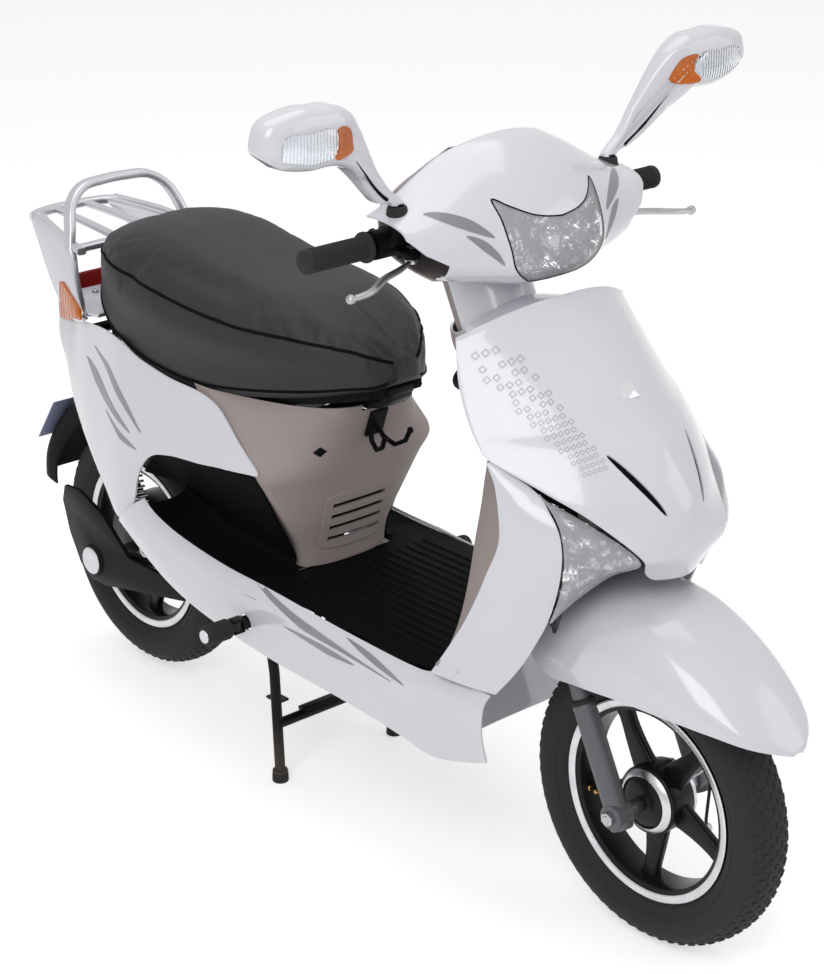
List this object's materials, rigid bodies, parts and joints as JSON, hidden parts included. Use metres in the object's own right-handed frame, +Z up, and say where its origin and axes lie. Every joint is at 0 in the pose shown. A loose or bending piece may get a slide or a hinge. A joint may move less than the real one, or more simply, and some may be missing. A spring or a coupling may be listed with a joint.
{
  "type": "electric scooter",
  "caption": "Moped-style electric scooter with step-through floor, bench seat, head cowl with mirrors, telescopic fork, hub-motor swing arm, rear rack and centre stand.",
  "frame": {"origin": "on the ground under the middle of the overall length", "axes": "+X forward, +Y to the rider's left, +Z up"},
  "size_m": [1.672, 0.878, 1.186],
  "materials": {
    "white_shell": "glossy lacquered plastic",
    "beige_trim": "grained beige-grey plastic",
    "black_plastic": "grained black plastic",
    "black_frame": "black powder coat",
    "black_wheel": "satin black paint with a turned lip",
    "tyre_rubber": "matt tyre rubber",
    "grip_rubber": "matt rubber",
    "seat_cover": "grained black artificial leather",
    "fork_grey": "satin dark grey paint",
    "steel": "zinc-plated steel",
    "chrome": "bright chrome",
    "cast_silver": "silver-painted casting",
    "clear_lens": "clear lens",
    "amber_plastic": "amber plastic",
    "red_lens": "red and amber lens",
    "plate_blue": "painted sheet"
  },
  "bodies": {
    "frame": {"main_frame": "black_frame", "front_apron": "white_shell", "leg_shield": "beige_trim", "lower_shield": "white_shell", "footboard": "black_plastic", "kick_panel": "beige_trim", "tail_lamp": "red_lens", "rear_mudguard": "black_plastic", "sill_right": "white_shell", "sill_left": "white_shell", "rear_panel_right": "white_shell", "rear_panel_left": "white_shell", "indicator_lens_right": "clear_lens", "indicator_lens_left": "clear_lens", "number_plate": "plate_blue", "carrier": "cast_silver", "bag_hook": "black_plastic", "battery_pack": "black_plastic"},
    "steering": {"fork_crown": "fork_grey", "handlebar": "black_frame", "neck_cover": "white_shell", "front_cowl": "white_shell", "rear_cowl": "beige_trim", "headlight_lens": "clear_lens", "instrument_panel": "black_plastic", "front_mudguard": "white_shell", "left_grip": "grip_rubber", "control_right": "black_plastic", "control_left": "black_plastic", "front_brake_cable": "grip_rubber"},
    "fork": {"fork_slider_right": "fork_grey", "fork_slider_left": "fork_grey", "front_axle": "steel", "front_brake_plate": "cast_silver"},
    "front_wheel": {"front_rim": "black_wheel", "front_tyre": "tyre_rubber"},
    "brake_arm": {"front_brake_arm": "steel"},
    "throttle": {"throttle_grip": "grip_rubber"},
    "lever_right": {"brake_lever_right": "black_frame"},
    "lever_left": {"brake_lever_left": "black_frame"},
    "mirror_right": {"mirror_right": "white_shell"},
    "mirror_left": {"mirror_left": "white_shell"},
    "horn": {"horn_button": "amber_plastic"},
    "seat": {"seat_cushion": "seat_cover", "seat_base": "black_plastic"},
    "swingarm": {"swingarm": "black_frame", "rear_axle": "steel"},
    "rear_wheel": {"rear_rim_motor": "black_wheel", "rear_tyre": "tyre_rubber"},
    "shock_upper": {"shock_upper_right": "steel", "shock_upper_left": "steel", "shock_spring_right": "chrome", "shock_spring_left": "chrome"},
    "shock_lower": {"shock_lower_right": "steel", "shock_lower_left": "steel"},
    "stand": {"center_stand": "black_frame", "stand_spring": "chrome"},
    "peg_right": {"peg_right": "grip_rubber"},
    "peg_left": {"peg_left": "grip_rubber"},
    "ignition": {"ignition_lock": "steel"}
  },
  "joints": [
    {"name": "steering_turn", "type": "hinge", "parent": "frame", "child": "steering", "pos_m": [0.40218, 0, 0.55363], "axis": [-0.4384, 0, 0.8988], "range_deg": [-35, 35]},
    {"name": "fork_travel", "type": "slide", "parent": "steering", "child": "fork", "axis": [-0.4384, 0, 0.8988], "range_m": [0, 0.05], "stiffness_N_per_m": 12000, "springref_m": -0.035, "deforming": ["front_brake_cable"]},
    {"name": "front_wheel_spin", "type": "hinge", "parent": "fork", "child": "front_wheel", "pos_m": [0.598, 0, 0.216], "axis": [0, 1, 0], "continuous": true},
    {"name": "brake_lever_right_pull", "type": "hinge", "parent": "steering", "child": "lever_right", "pos_m": [0.28, -0.172, 0.947], "axis": [0, 0, -1], "range_deg": [0, 20], "stiffness_Nm_per_rad": 1.5, "springref_deg": -11.46},
    {"name": "brake_arm_turn", "type": "hinge", "parent": "fork", "child": "brake_arm", "pos_m": [0.604, 0.053, 0.182], "axis": [0, -1, 0], "range_deg": [0, 14]},
    {"name": "brake_lever_left_pull", "type": "hinge", "parent": "steering", "child": "lever_left", "pos_m": [0.28, 0.172, 0.947], "axis": [0, 0, 1], "range_deg": [0, 20], "stiffness_Nm_per_rad": 1.5, "springref_deg": -11.46},
    {"name": "throttle_twist", "type": "hinge", "parent": "steering", "child": "throttle", "pos_m": [0.246, -0.27, 0.968], "axis": [0, -1, 0], "range_deg": [0, 70], "stiffness_Nm_per_rad": 0.4, "springref_deg": -17.19},
    {"name": "mirror_right_turn", "type": "hinge", "parent": "steering", "child": "mirror_right", "pos_m": [0.28, -0.196, 1], "axis": [0, 0, 1], "range_deg": [-30, 30]},
    {"name": "mirror_left_turn", "type": "hinge", "parent": "steering", "child": "mirror_left", "pos_m": [0.28, 0.196, 1], "axis": [0, 0, 1], "range_deg": [-30, 30]},
    {"name": "horn_press", "type": "slide", "parent": "steering", "child": "horn", "axis": [0.943, 0, 0.3328], "range_m": [0, 0.002], "stiffness_N_per_m": 300, "springref_m": -0.002},
    {"name": "seat_tilt", "type": "hinge", "parent": "frame", "child": "seat", "pos_m": [0.053, 0, 0.6665], "axis": [0, 1, 0], "range_deg": [0, 70]},
    {"name": "swingarm_pitch", "type": "hinge", "parent": "frame", "child": "swingarm", "pos_m": [-0.202, 0, 0.275], "axis": [0, 1, 0], "range_deg": [0, 7], "stiffness_Nm_per_rad": 1800, "springref_deg": -2.86},
    {"name": "rear_wheel_spin", "type": "hinge", "parent": "swingarm", "child": "rear_wheel", "pos_m": [-0.584, 0, 0.227], "axis": [0, 1, 0], "continuous": true},
    {"name": "shock_pitch", "type": "hinge", "parent": "frame", "child": "shock_upper", "pos_m": [-0.532, 0, 0.555], "axis": [0, 1, 0], "range_deg": [-2.5, 0]},
    {"name": "shock_travel", "type": "slide", "parent": "shock_upper", "child": "shock_lower", "axis": [-0.3003, 0, 0.9538], "range_m": [0, 0.0275], "deforming": ["shock_spring_right", "shock_spring_left"]},
    {"name": "stand_fold", "type": "hinge", "parent": "frame", "child": "stand", "pos_m": [-0.117, 0, 0.245], "axis": [0, 1, 0], "range_deg": [0, 72], "deforming": ["stand_spring"]},
    {"name": "peg_right_fold", "type": "hinge", "parent": "frame", "child": "peg_right", "pos_m": [-0.085, -0.208, 0.302], "axis": [0, 0, -1], "range_deg": [0, 90]},
    {"name": "peg_left_fold", "type": "hinge", "parent": "frame", "child": "peg_left", "pos_m": [-0.085, 0.208, 0.302], "axis": [0, 0, 1], "range_deg": [0, 90]},
    {"name": "ignition_turn", "type": "hinge", "parent": "frame", "child": "ignition", "pos_m": [0.336, -0.125, 0.785], "axis": [-0.9703, -0.1, 0.2201], "range_deg": [0, 90]}
  ],
  "couplings": [
    {"joint": "brake_arm_turn", "follows": "brake_lever_right_pull", "ratio": 0.7},
    {"joint": "shock_pitch", "follows": "swingarm_pitch", "ratio": -0.355},
    {"joint": "shock_travel", "follows": "swingarm_pitch", "m_per_rad": 0.2245}
  ]
}
